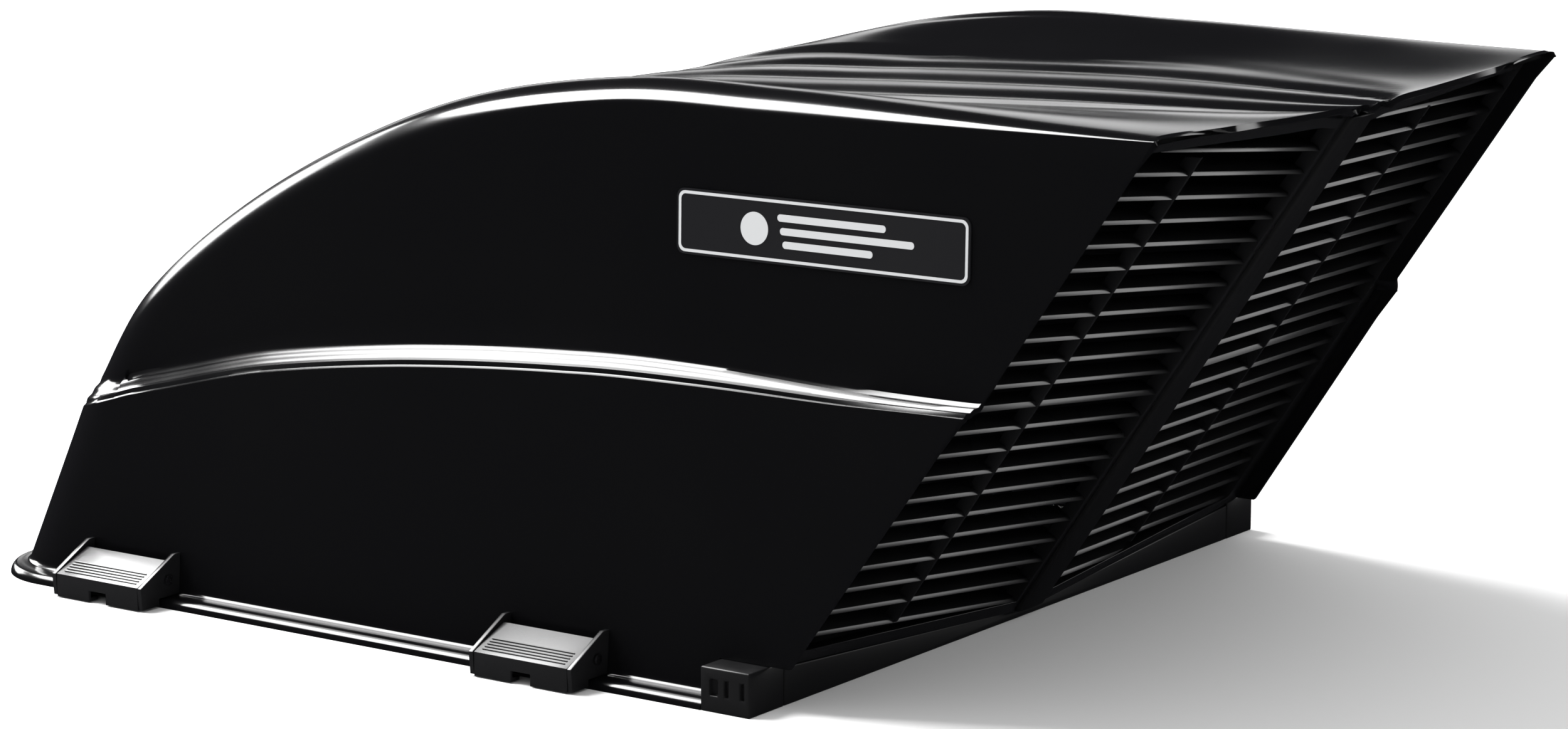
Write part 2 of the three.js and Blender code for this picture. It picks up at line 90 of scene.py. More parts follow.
floor_size, floor_white, floor_roughness = 24, (0.86, 0.86, 0.86, 1), 0.9
bpy.ops.mesh.primitive_plane_add(size=floor_size, location=(0, 0, 0))
floor = bpy.context.object
floor.name = "floor"
floor_paint = bpy.data.materials.new("floor_paint")
floor_paint.use_nodes = True
floor_shader = floor_paint.node_tree.nodes["Principled BSDF"]
floor_shader.inputs["Base Color"].default_value = floor_white
floor_shader.inputs["Roughness"].default_value = floor_roughness
floor.data.materials.append(floor_paint)
floor.visible_glossy = False

# ---- Hood ------------------------------------------------------------------------------------
# One black polyethylene moulding: a domed roof with a fluted channel down its middle, side walls
# with a sloping belt ledge, and a rim flange that lies on the vehicle's roof.
# The roof is a flat grid bent over the side-view curves, and the rest is extruded from its edge.
front_end, half_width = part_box("hood_shell")[0].x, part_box("hood_shell")[1].y
sheet = 0.0028  # thickness of the moulding
rear_foot, rear_slope, rear_sweep = 0.156, 0.685, 0.026  # rear edge: its foot, lean and sweep
rim_width, rim_height, rim_round = 0.014, 0.0046, 0.0040
wall_foot = 0.0076  # height at which the wall turns into the flange
wall_lean = 0.079  # how far the lower side walls lean in for each metre up
front_gap, front_lean = 0.004, 0.38  # the front wall stands this far inside the rim, and leans
corner_x, corner_y, corner_lean = -0.303, 0.1925, 0.2  # middle of the front corner's round
upper_inset, upper_lean, upper_edge = 0.0375, 0.02, 0.277  # upper walls, at their top edge
crease = math.radians(32)  # edges sharper than this stay crisp

# Side views, (x, z), from front to rear: the top edge of the side wall, the crest of the
# shoulder, and the lower edge of the belt ledge.
edge_curve = [(-0.2685, 0.1075), (-0.234, 0.155), (-0.1736, 0.1985), (-0.1075, 0.234),
              (-0.039, 0.258), (0.047, 0.2745), (0.130, 0.2762), (0.209, 0.2770),
              (0.298, 0.2795), (0.343, 0.2805)]
crest_curve = [(-0.3047, 0.1025), (-0.272, 0.150), (-0.212, 0.1975), (-0.134, 0.240),
               (-0.0514, 0.270), (0.042, 0.2850), (0.128, 0.2860), (0.209, 0.2847),
               (0.295, 0.2825), (0.344, 0.2815)]
belt_curve = [(-0.348, 0.077), (-0.315, 0.086), (-0.254, 0.103), (-0.169, 0.1235),
              (-0.076, 0.1370), (0.028, 0.1452), (0.103, 0.1475), (0.184, 0.1478),
              (0.232, 0.1490), (0.300, 0.150)]
# At ten even stations: the shoulder's width, how far the middle rises above the crest, and the
# channel's half width and depth.
shoulder_width = [0.033, 0.033, 0.032, 0.030, 0.027, 0.025, 0.022, 0.018, 0.013, 0.009]
middle_rise = [0.003, 0.008, 0.010, 0.009, -0.005, -0.014, -0.012, -0.009, -0.006, -0.004]
channel_half = [0.070, 0.074, 0.080, 0.090, 0.105, 0.115, 0.116, 0.106, 0.078, 0.036]
channel_depth = [0.000, 0.0005, 0.0010, 0.0015, 0.003, 0.003, 0.002, 0.001, 0.001, 0.001]

# The pattern's grid: stations run from front to rear, and lanes from the left belt over the roof
# to the right belt. The walls' stations crowd a little towards the front.
stations, lanes = 128, 124
wall_lanes, shoulder_lanes = 9, 15
roof_lanes = lanes - 2 * (wall_lanes + shoulder_lanes)
crowding = 1.1


def spline(points, t):
    """Catmull-Rom curve through points that are evenly spaced in t, from 0 to 1."""
    last = len(points) - 1
    i = min(int(t * last), last - 1)
    u = t * last - i
    a, b, c, d = [Vector(points[min(max(k, 0), last)]) for k in (i - 1, i, i + 1, i + 2)]
    return 0.5 * (2 * b + (c - a) * u + (2 * a - 5 * b + 4 * c - d) * u ** 2
                  + (3 * b - a - 3 * c + d) * u ** 3)


def along(values, t):
    """A smooth value at t from a list at even stations."""
    return spline([(v, 0) for v in values], t)[0]


def smooth(low, high, x):
    """An eased step from 0 at `low` to 1 at `high`."""
    t = min(max((x - low) / (high - low), 0), 1)
    return t * t * (3 - 2 * t)


def rear_edge(y, z):
    """The hood's rear edge leans back as it rises, and falls back a little towards each side."""
    return rear_foot + rear_slope * z - rear_sweep * abs(y)


def upper_y(z):
    """Half width of the upper body, whose side walls lean in a little."""
    return half_width - upper_inset + upper_lean * (upper_edge - z)


def lower_y(z):
    """Half width of the lower body."""
    return half_width - rim_width - wall_lean * z


def front_wall(z):
    """Where the front wall is at height z."""
    return front_end + front_gap + front_lean * z


def belt_height(x):
    """Height of the belt ledge's lower edge."""
    i = sum(p[0] <= x for p in belt_curve[1:-1])
    (x0, _), (x1, _) = belt_curve[i], belt_curve[i + 1]
    u = min(max((x - x0) / (x1 - x0), 0), 1)
    return spline(belt_curve, (i + u) / (len(belt_curve) - 1))[1]


def belt_top(t):
    """The belt ledge's upper edge, (x, z). The ledge is taller at the front."""
    tall, loss, loss_from, loss_to = 0.011, 0.005, 0.06, 0.24
    rear_inset, rear_height = 0.035, 0.155
    front = edge_curve[0][0]
    x = front + (rear_edge(half_width - rear_inset, rear_height) - front) * t ** crowding
    return Vector((x, belt_height(x) + tall - loss * smooth(loss_from, loss_to, x)))


def channel(t, y):
    """Depth below the roof's curve at y: a channel with three round flutes in its floor."""
    bank = 0.020  # width of each of the channel's sloping sides
    flute_place, flute_width, flute_depth = 0.48, 0.11, 0.0022  # the first two by half width
    flute_from, flute_full = 0.03, 0.15
    half = along(channel_half, t)
    inside = 1 - smooth(half - bank, half, abs(y))
    flutes = sum(math.exp(-((y - k * half * flute_place) / (half * flute_width)) ** 2)
                 for k in (-1, 0, 1))
    return inside * (along(channel_depth, t)
                     + flute_depth * smooth(flute_from, flute_full, t) * flutes)


def roof_rise(t, y, reach):
    """How far the roof is above the shoulder's crest at y, where `reach` is its half width."""
    trough_from, trough_full, trough_flat = 0.35, 0.55, 0.9  # the dome turns into a trough
    groove_depth, groove_inset, groove_width = 0.0012, 0.011, 0.004  # beside each shoulder
    groove_fades, groove_ends = 0.5, 0.7
    dome = (1 + math.cos(math.pi * y / reach)) / 2
    trough = 1 - smooth(along(channel_half, t) * trough_flat, reach, y)
    section = dome + (trough - dome) * smooth(trough_from, trough_full, t)
    groove = math.exp(-((reach - groove_inset - y) / groove_width) ** 2)
    return (along(middle_rise, t) * section - channel(t, y)
            - groove_depth * (1 - smooth(groove_fades, groove_ends, t)) * groove)


def drawn_back(x, y, z, t):
    """Draws the last stations out to the rear edge."""
    drawn_from = 0.85
    return x + (rear_edge(y, z) - x) * smooth(drawn_from, 1, t)


def upper_body(t, lane):
    """A point of the upper body at t, from lane 0 at the left belt to the last at the right."""
    nearby = 0.02  # the crest's direction is taken over this much of t to each side
    side, k = (-1, lane) if lane <= lanes / 2 else (1, lanes - lane)
    edge, crest = spline(edge_curve, t), spline(crest_curve, t)
    width = along(shoulder_width, t)
    if k < wall_lanes:
        x, z = belt_top(t).lerp(edge, k / wall_lanes)
        y = upper_y(z)
    elif k < wall_lanes + shoulder_lanes:
        turn = (k - wall_lanes) / shoulder_lanes * math.pi / 2
        x, z = edge.lerp(crest, math.sin(turn))
        y = upper_y(edge.y) - width * (1 - math.cos(turn))
    else:
        reach = upper_y(edge.y) - width
        y = reach * (1 - (k - wall_lanes - shoulder_lanes) / (roof_lanes / 2))
        before, after = max(t - nearby, 0), min(t + nearby, 1)
        run = (spline(crest_curve, after) - spline(crest_curve, before)).normalized()
        rise = roof_rise(t, y, reach)
        x, z = crest.x - run.y * rise, crest.y + run.x * rise
    return Vector((drawn_back(x, y, z, t), side * y, z))


def skirt(t, lane, side_y, front_x, z):
    """A point of the outline at height z, below the upper body's point at (t, lane)."""
    side, k = (-1, lane) if lane <= lanes / 2 else (1, lanes - lane)
    round_x, round_y = corner_x + front_lean * z, corner_y - corner_lean * z
    if t > 0 or k <= wall_lanes:
        x, y = round_x + (rear_edge(side_y, z) - round_x) * t ** crowding, side_y
    elif k < wall_lanes + shoulder_lanes:
        turn = (k - wall_lanes) / shoulder_lanes * math.pi / 2
        x = round_x + (front_x - round_x) * math.sin(turn)
        y = round_y + (side_y - round_y) * math.cos(turn)
    else:
        x, y = front_x, round_y * (1 - (k - wall_lanes - shoulder_lanes) / (roof_lanes / 2))
    return Vector((x, side * y, z))


def lower_wall(t, lane, z):
    """A point of the lower wall at height z."""
    return skirt(t, lane, lower_y(z), front_wall(z), z)


ledge_rings, wall_rings, fillet_rings, flange_rings, edge_rings = 12, 8, 4, 2, 4
rings = ledge_rings + wall_rings + fillet_rings + flange_rings + edge_rings + 1


def ledge_point(u, top, belt):
    """A point of the belt ledge at u, from 0 at its top to 1 at its nose over the lower wall."""
    nose, nose_from, grooves, groove_depth = 0.0016, 0.25, 3, 0.00035
    # The rings lie closer together towards both ends, and over half the drop is above the middle.
    middle_drop, top_power, nose_power = 0.58, 1.1, 1.25
    if u > 0.5:
        drop = 1 - (1 - u) ** nose_power
    else:
        drop = middle_drop * (2 * u) ** top_power
    bulge = (nose * math.sin(math.pi * u) ** 2 * (u - nose_from)
             - groove_depth * (1 - math.cos(2 * grooves * math.pi * u)))
    outward = (belt - top).cross(Vector((0, 0, 1))).cross(belt - top).normalized()
    return top.lerp(belt, drop) + outward * bulge


def lower_body(ring, t, lane):
    """A point of ring 1, 2, 3... down from the belt: ledge, wall, fillet, flange and rim edge."""
    top = upper_body(t, lane)
    belt = lower_wall(t, lane, belt_height(lower_wall(t, lane, belt_height(top.x)).x))
    if ring <= ledge_rings:
        return ledge_point(ring / ledge_rings, top, belt)
    ring -= ledge_rings
    if ring <= wall_rings:
        return lower_wall(t, lane, belt.z + (wall_foot - belt.z) * ring / wall_rings)
    ring -= wall_rings
    foot_y, foot_x = lower_y(wall_foot), front_wall(wall_foot)
    fillet, reach = wall_foot - rim_height, half_width - foot_y
    if ring <= fillet_rings:
        turn = ring / fillet_rings * math.pi / 2
        out, z = fillet * (1 - math.cos(turn)), wall_foot - fillet * math.sin(turn)
    elif ring <= fillet_rings + flange_rings:
        share = (ring - fillet_rings) / flange_rings
        out, z = fillet + (reach - fillet - rim_round) * share, rim_height
    else:
        turn = min((ring - fillet_rings - flange_rings) / edge_rings, 1) * math.pi / 2
        out = reach - rim_round * (1 - math.sin(turn))
        z = rim_height - rim_round * (1 - math.cos(turn))
        if ring > fillet_rings + flange_rings + edge_rings:
            z = 0
    return skirt(t, lane, foot_y + out, foot_x + (front_end - foot_x) * (out / reach), z)


def take(piece):
    """Makes a piece the active one and the only one selected."""
    bpy.ops.object.select_all(action="DESELECT")
    piece.select_set(True)
    bpy.context.view_layer.objects.active = piece


def select_edges(piece, wanted):
    """Selects just the edges that `wanted` accepts by their two ends, and ends in object mode."""
    bpy.ops.object.mode_set(mode="EDIT")
    bpy.ops.mesh.select_all(action="DESELECT")
    bpy.ops.mesh.select_mode(type="EDGE")
    bpy.ops.object.mode_set(mode="OBJECT")
    corners = piece.data.vertices
    for e in piece.data.edges:
        e.select = wanted(*(corners[i].co for i in e.vertices))


def beyond(co):
    """How many rings outside the grid a point of the flat pattern is."""
    return max(-co.x, -co.y, co.y - lanes)


# The flat pattern, one metre to a square: the grid, with a ring extruded from its front and its
# two sides for each ring of the lower body. Then every corner is moved to its place.
near = 0.1  # the pattern's corners are at whole metres, give or take this
weld = 0.00002  # corners closer than this become one
bpy.ops.object.select_all(action="DESELECT")
bpy.ops.mesh.primitive_grid_add(x_subdivisions=stations, y_subdivisions=lanes, size=2)
hood = bpy.context.object
hood.name = "hood"
for v in hood.data.vertices:
    v.co = (round((v.co.x + 1) / 2 * stations), round((v.co.y + 1) / 2 * lanes), 0)
for ring in range(rings):
    select_edges(hood, lambda a, b: all(abs(beyond(end) - ring) < near for end in (a, b)))
    bpy.ops.object.mode_set(mode="EDIT")
    bpy.ops.mesh.extrude_edges_move(TRANSFORM_OT_translate={"value": (0, 0, 1)})
    bpy.ops.object.mode_set(mode="OBJECT")
    for v in hood.data.vertices:
        if v.co.z > near:
            x = v.co.x - (v.co.x < near)
            y = v.co.y - (v.co.y < near) + (v.co.y > lanes - near)
            v.co = (x, y, 0)
for v in hood.data.vertices:
    ring = round(max(beyond(v.co), 0))
    t, lane = min(max(v.co.x, 0), stations) / stations, min(max(v.co.y, 0), lanes)
    v.co = lower_body(ring, t, lane) if ring else upper_body(t, lane)
bpy.ops.object.mode_set(mode="EDIT")
bpy.ops.mesh.select_all(action="SELECT")
bpy.ops.mesh.remove_doubles(threshold=weld)
bpy.ops.mesh.normals_make_consistent(inside=False)
bpy.ops.object.mode_set(mode="OBJECT")


def select_faces(piece, low, high, margin):
    """Selects the faces whose middle is in a box, grown by a margin, and ends in edit mode."""
    bpy.ops.object.mode_set(mode="EDIT")
    bpy.ops.mesh.select_mode(type="FACE")
    bpy.ops.mesh.select_all(action="DESELECT")
    bpy.ops.object.mode_set(mode="OBJECT")
    for p in piece.data.polygons:
        p.select = all(low[i] - margin < p.center[i] < high[i] + margin for i in range(3))
    bpy.ops.object.mode_set(mode="EDIT")


def trim(piece, low, high):
    """Cuts away a sheet's surface inside a box, along the box's own sides."""
    around = 0.02  # only the faces this close to the box are split
    for axis in range(3):
        for corner in (low, high):
            select_faces(piece, low, high, around)
            normal = [float(i == axis) for i in range(3)]
            bpy.ops.mesh.bisect(plane_co=corner, plane_no=normal)
            bpy.ops.object.mode_set(mode="OBJECT")
    select_faces(piece, low, high, 0)
    bpy.ops.mesh.delete(type="FACE")
    bpy.ops.object.mode_set(mode="OBJECT")


# The corner caps take the place of the walls' lower rear ends, and each clip's tail has a slot.
below = -0.01  # the cuts start under the rim
cap_gap, cap_inner, cap_outer, cap_behind = 0.0003, 0.18, 0.3, 0.05
slot_half, slot_near, slot_far, slot_top = 0.0075, 0.0105, 0.0320, 0.0175
cap_low, cap_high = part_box("corner_cap_left")
for side in (-1, 1):
    left, right = sorted((side * cap_inner, side * cap_outer))
    trim(hood, (cap_low.x - cap_gap, left, below),
         (cap_high.x + cap_behind, right, cap_high.z + cap_gap))
clip_places = {}  # each clip's middle at the rim's edge, and its side of the hood
for place in ("left_rear", "left_front", "right_rear", "right_front"):
    low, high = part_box(place + "_clip_saddle")
    side = -1 if low.y < 0 else 1
    at = Vector(((low.x + high.x) / 2, side * half_width, 0))
    clip_places[place] = (at, side)
    left, right = sorted((at.y - side * slot_near, at.y - side * slot_far))
    trim(hood, (at.x - slot_half, left, below), (at.x + slot_half, right, slot_top))

take(hood)
wall = hood.modifiers.new("wall", "SOLIDIFY")
wall.thickness, wall.offset = sheet, -1
bpy.ops.object.modifier_apply(modifier="wall")
for v in hood.data.vertices:
    v.co.z = max(v.co.z, 0)  # the rim stands flat on the roof
bpy.ops.object.shade_smooth_by_angle(angle=crease)


def node_group(name, inputs, outputs):
    """An empty shader node group with its sockets, its input node and its output node."""
    group = bpy.data.node_groups.new(name, "ShaderNodeTree")
    for label, kind in inputs:
        group.interface.new_socket(label, in_out="INPUT", socket_type=kind)
    for label, kind in outputs:
        group.interface.new_socket(label, in_out="OUTPUT", socket_type=kind)
    return group, group.nodes.new("NodeGroupInput"), group.nodes.new("NodeGroupOutput")


# Moulded skin: a fine texture, and slow waves in the gloss where the sheet cooled unevenly.
skin, skin_in, skin_out = node_group(
    "moulded_skin",
    [("Vector", "NodeSocketVector"), ("Roughness", "NodeSocketFloat"),
     ("Grain", "NodeSocketFloat"), ("Waves", "NodeSocketFloat")],
    [("Roughness", "NodeSocketFloat"), ("Height", "NodeSocketFloat")])
waves, grain = skin.nodes.new("ShaderNodeTexNoise"), skin.nodes.new("ShaderNodeTexNoise")
waves.inputs["Scale"].default_value, waves.inputs["Detail"].default_value = 9, 2
grain.inputs["Scale"].default_value, grain.inputs["Detail"].default_value = 900, 2
for noise in (waves, grain):
    skin.links.new(skin_in.outputs["Vector"], noise.inputs["Vector"])
gloss = skin.nodes.new("ShaderNodeMapRange")
gloss.inputs["From Min"].default_value, gloss.inputs["From Max"].default_value = 0.3, 0.7
gloss.inputs["To Min"].default_value, gloss.inputs["To Max"].default_value = -0.04, 0.06
skin.links.new(waves.outputs["Fac"], gloss.inputs["Value"])
rough = skin.nodes.new("ShaderNodeMath")
rough.operation = "ADD"
skin.links.new(skin_in.outputs["Roughness"], rough.inputs[0])
skin.links.new(gloss.outputs["Result"], rough.inputs[1])
skin.links.new(rough.outputs["Value"], skin_out.inputs["Roughness"])
fine, slow = skin.nodes.new("ShaderNodeMath"), skin.nodes.new("ShaderNodeMath")
fine.operation, slow.operation = "MULTIPLY", "MULTIPLY_ADD"
skin.links.new(grain.outputs["Fac"], fine.inputs[0])
skin.links.new(skin_in.outputs["Grain"], fine.inputs[1])
skin.links.new(waves.outputs["Fac"], slow.inputs[0])
skin.links.new(skin_in.outputs["Waves"], slow.inputs[1])
skin.links.new(fine.outputs["Value"], slow.inputs[2])
skin.links.new(slow.outputs["Value"], skin_out.inputs["Height"])


def surfaced(name, colour, group, values, bump_distance):
    """A material whose roughness and fine relief come from a surface group, and its shader."""
    made = bpy.data.materials.new(name)
    made.use_nodes = True
    tree = made.node_tree
    shader = tree.nodes["Principled BSDF"]
    shader.inputs["Base Color"].default_value = (*colour, 1)
    place, surface = tree.nodes.new("ShaderNodeTexCoord"), tree.nodes.new("ShaderNodeGroup")
    surface.node_tree = group
    for label, value in values.items():
        surface.inputs[label].default_value = value
    bump = tree.nodes.new("ShaderNodeBump")
    bump.inputs["Strength"].default_value = 1
    bump.inputs["Distance"].default_value = bump_distance
    tree.links.new(place.outputs["Object"], surface.inputs["Vector"])
    tree.links.new(surface.outputs["Roughness"], shader.inputs["Roughness"])
    tree.links.new(surface.outputs["Height"], bump.inputs["Height"])
    tree.links.new(bump.outputs["Normal"], shader.inputs["Normal"])
    return made, shader


def plastic(name, colour, roughness, grain_height, wave_height, specular):
    """A moulded plastic with the skin group's grain."""
    values = {"Roughness": roughness, "Grain": grain_height, "Waves": wave_height}
    made, shader = surfaced(name, colour, skin, values, 1)
    shader.inputs["Specular IOR Level"].default_value = specular
    return made


def fit(piece, body, node, slot, *materials):
    """Gives a piece its materials and the body that it moves with, and hides the node it stands
    for.
    """
    for m in materials:
        piece.data.materials.append(m)
    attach(piece, body)
    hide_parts(node)


hood_black = plastic("hood_black", (0.0022, 0.0022, 0.0025), 0.15, 0.0000015, 0.00006, 0.5)
hood.data.materials.clear()
fit(hood, "root", "hood_shell", "moulded", hood_black)

# ---- Sill and corner caps --------------------------------------------------------------------
# The bar that closes the rim at the rear, lowest at the middle, and an L-shaped cap at each end.
# Black mouldings, glued into the hood's lower rear ends. Three slots open in each cap's side.
sill_round = 0.0008
loose = 0.00001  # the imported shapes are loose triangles, whose corners meet within this
sharp = math.radians(30)  # edges at least this sharp are rounded


def rounded(piece, edge, segments):
    """Rounds the sharp edges of the active piece and shades the rest smooth."""
    rounding = piece.modifiers.new("rounding", "BEVEL")
    rounding.width, rounding.segments = edge, segments
    rounding.limit_method, rounding.angle_limit = "ANGLE", sharp
    bpy.ops.object.modifier_apply(modifier="rounding")
    bpy.ops.object.shade_smooth_by_angle(angle=crease)


def softened(name, node, edge, segments=2):
    """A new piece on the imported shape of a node, with its corners rounded."""
    made = bpy.data.objects.new(name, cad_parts[node].data.copy())
    bpy.context.scene.collection.objects.link(made)
    take(made)
    bpy.ops.object.mode_set(mode="EDIT")
    bpy.ops.mesh.select_all(action="SELECT")
    bpy.ops.mesh.remove_doubles(threshold=loose)
    bpy.ops.object.mode_set(mode="OBJECT")
    rounded(made, edge, segments)
    made.data.materials.clear()
    return made


sill_black = plastic("sill_black", (0.006, 0.006, 0.0065), 0.34, 0.000004, 0.00002, 0.35)
sill = softened("sill", "rear_sill", sill_round)
fit(sill, "root", "rear_sill", "moulded", sill_black)
for side in ("left", "right"):
    cap = softened(side + "_cap", "corner_cap_" + side, sill_round)
    fit(cap, "root", "corner_cap_" + side, "moulded", sill_black)

# ---- Louvres ---------------------------------------------------------------------------------
# Two inserts, one each side of the centre rib, each a frame with rows of sloping slats and an
# upright divider. Black plastic mouldings, pushed in behind the hood's rear edge, which let air
# out and keep rain off.
rear_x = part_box("rear_sill")[1].x
rib_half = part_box("centre_rib")[1].y
fold = 0.065  # each insert falls back towards its side
insert_depth, seat_gap, insert_round, centre_round = 0.009, 0.0005, 0.0005, 0.0015
sill_middle, sill_end = 0.004, 0.021  # height of the sill at the rib and at the rim's edge
belt_low, belt_high = 0.149, 0.155  # the side walls step in between these heights
rows = {  # first slat's height at the rib, the step down, the fall towards +Y, the divider's y
    "left": (0.252, 0.01152, 0.113, 0.128),
    "right": (0.266, 0.01178, 0.030, 0.092)}
slat_count, heavy_row, slat_lip, heavy_lip = 22, 12, 0.0020, 0.0028
seat_station = 0.98  # just inside the hood's rear edge
roof_line = [upper_body(seat_station, lane)  # the left half of the roof there
             for lane in range(wall_lanes + shoulder_lanes // 2, lanes // 2 + 1)]


def face_x(y, z):
    """Where the inserts' rear face is."""
    return rear_x + rear_slope * z - fold * abs(y)


def sill_top(y):
    """Height of the sill, which rises from the rib to each side."""
    return sill_middle + (sill_end - sill_middle) * abs(y) / half_width


def under_roof(y):
    """Height of the roof's inner face just inside the rear edge."""
    for a, b in zip(roof_line, roof_line[1:]):
        if -b.y <= abs(y) <= -a.y:
            return a.z + (b.z - a.z) * (abs(y) + a.y) / (a.y - b.y) - sheet - seat_gap
    return roof_line[0].z - sheet - seat_gap


def inside_wall(z):
    """Half width between the side walls, just inside the rear edge."""
    step = max(0, lower_y(z) - upper_y(z)) * (1 - smooth(belt_low, belt_high, z))
    return min(lower_y(z), upper_y(z) + step) - sheet - seat_gap


def window_side(z):
    """Half width of the louvred opening, whose sides lean in."""
    inset, lean = 0.033, 0.042
    return half_width - inset - lean * z


def insert_loops():
    """The insert's outer edge and its window's edge, as matching lists of (y, z)."""
    header, foot, stile, corner = 0.0065, 0.007, 0.005, 0.004
    foot_steps, roof_steps = 12, 24
    low_end, high_end, window_high = 0.03, 0.27, 0.268  # heights where the sides end
    side_heights = (0.05, 0.08, 0.11, 0.135, 0.147, 0.151, 0.157, 0.18, 0.21, 0.24, 0.262)
    rib_heights = (0.2, 0.14, 0.08, 0.03)
    inner = rib_half + seat_gap
    window_inner = inner + stile
    outer, window = [], []

    def span(start, end, steps):
        return [start + (end - start) * i / steps for i in range(steps + 1)]

    # From the rib's foot out along the sill, up the side wall, in along the roof, and down.
    for y in span(inner, inside_wall(low_end), foot_steps):
        outer.append((y, sill_top(y) + seat_gap))
    for y in span(window_inner, window_side(low_end), foot_steps):
        window.append((y, sill_top(y) + foot))
    for z in side_heights:
        outer.append((inside_wall(z), z))
        window.append((window_side(z), z))
    for y in span(inside_wall(high_end) - corner, inner, roof_steps):
        outer.append((y, under_roof(y)))
    for y in span(window_side(window_high), window_inner, roof_steps):
        window.append((y, under_roof(y) - header))
    for z in rib_heights:
        outer.append((inner, z))
        window.append((window_inner, z))
    return outer, window


def frame_of(side):
    """The insert's frame: a band between its two loops, drawn forward to its depth."""
    outer, window = insert_loops()
    count = len(outer)
    bpy.ops.object.select_all(action="DESELECT")
    bpy.ops.mesh.primitive_grid_add(x_subdivisions=count, y_subdivisions=1, size=2)
    made = bpy.context.object
    for v in made.data.vertices:
        i = round((v.co.x + 1) / 2 * count) % count
        y, z = (outer if v.co.y < 0 else window)[i]
        v.co = (face_x(y, z), side * y, z)
    bpy.ops.object.mode_set(mode="EDIT")
    bpy.ops.mesh.select_all(action="SELECT")
    bpy.ops.mesh.remove_doubles(threshold=weld)
    bpy.ops.mesh.extrude_region_move(TRANSFORM_OT_translate={"value": (-insert_depth, 0, 0)})
    bpy.ops.object.mode_set(mode="OBJECT")
    return made


def slat(side, ends, lip):
    """A slat between two (y, z) ends: a lip at the face, and a blade that rises behind it."""
    section = {  # (rear or front, low or high): how far from the face, and how far up
        (1, -1): (0.0004, 0), (1, 1): (0.0012, lip),
        (-1, -1): (0.010, 0.005), (-1, 1): (0.010, 0.0066)}
    bpy.ops.mesh.primitive_cube_add(size=2)
    made = bpy.context.object
    for v in made.data.vertices:
        y, z = ends[0] if v.co.y < 0 else ends[1]
        back, up = section[(round(v.co.x), round(v.co.z))]
        v.co = (face_x(y, z) - back, side * y, z + up)
    return made


def slats(side, first, pitch, fall):
    """The rows of one insert, each as long as the window leaves room for."""
    rib_tuck, side_tuck = 0.003, 0.002  # the slats run into the frame at both ends
    clearance, header_tuck, shortest, steps = 0.004, 0.003, 0.01, 80
    side_y = 0.2  # the side's slope is taken where the row is here
    made = []
    for row in range(slat_count):
        def height(y):
            return first - pitch * row - fall * side * y
        start, end = rib_half + rib_tuck, window_side(height(side_y)) + side_tuck
        clear = []
        for i in range(steps + 1):
            y = start + (end - start) * i / steps
            z = height(y)
            if sill_top(y) + clearance < z and z + clearance < under_roof(y) - header_tuck:
                clear.append((y, z))
        if clear and clear[-1][0] - clear[0][0] > shortest:
            lip = heavy_lip if row + 1 == heavy_row else slat_lip
            made.append(slat(side, (clear[0], clear[-1]), lip))
    return made


def divider_bar(side, divider):
    """The upright bar that ties the slats together."""
    half, foot, head, front, back = 0.0009, 0.012, 0.264, 0.0085, 0.0002
    bpy.ops.mesh.primitive_cube_add(size=2)
    made = bpy.context.object
    for v in made.data.vertices:
        y, z = divider + half * v.co.y, foot + sill_top(divider) if v.co.z < 0 else head
        v.co = (face_x(y, z) - (front if v.co.x < 0 else back), side * y, z)
    return made


def join(pieces, name):
    """One object of several, at the origin."""
    bpy.ops.object.select_all(action="DESELECT")
    for p in pieces:
        p.select_set(True)
    bpy.context.view_layer.objects.active = pieces[0]
    bpy.ops.object.join()
    pieces[0].name = name
    return pieces[0]


louvre_black = plastic("louvre_black", (0.006, 0.006, 0.0065), 0.26, 0.000003, 0.00002, 0.5)
for name, side in (("left", -1), ("right", 1)):
    first, pitch, fall, divider = rows[name]
    parts = [frame_of(side), *slats(side, first, pitch, fall), divider_bar(side, divider)]
    for part in parts:
        take(part)
        bpy.ops.object.mode_set(mode="EDIT")
        bpy.ops.mesh.select_all(action="SELECT")
        bpy.ops.mesh.normals_make_consistent(inside=False)
        bpy.ops.object.mode_set(mode="OBJECT")
    insert = join(parts, name + "_louvres")
    rounded(insert, insert_round, 3)
    fit(insert, "root", "louvre_insert_" + name, "louvre", louvre_black)
rib = softened("rib", "centre_rib", centre_round, 3)
fit(rib, "root", "centre_rib", "moulded", sill_black)

# ---- Label -----------------------------------------------------------------------------------
# A thin plate stuck on the left wall: a black film with a printed silver edge, and for a mark
# a silver disc and three streaks of air beside it.
low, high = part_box("label_plate")
label_middle, label_long, label_high = (low + high) / 2, high.x - low.x, high.z - low.z
film_thick, print_rise, glue = 0.0009, 0.00012, 0.00005
film_corner, border_corner, opening_corner = 0.004, 0.0036, 0.0026
border_inset, opening_inset = 0.0022, 0.0050  # taken off the label's length and height
disc_radius, disc_x = 0.0078, -0.037
streak_wide, streak_corner = 0.0034, 0.0016
streak_places = ((0.060, 0.006, 0.0062), (0.074, 0.0145, 0), (0.050, 0.004, -0.0062))
label_film = plastic("label_film", (0.008, 0.008, 0.009), 0.25, 0, 0.00001, 0.4)
label_silver = plastic("label_silver", (0.36, 0.365, 0.37), 0.32, 0, 0.00001, 0.5)


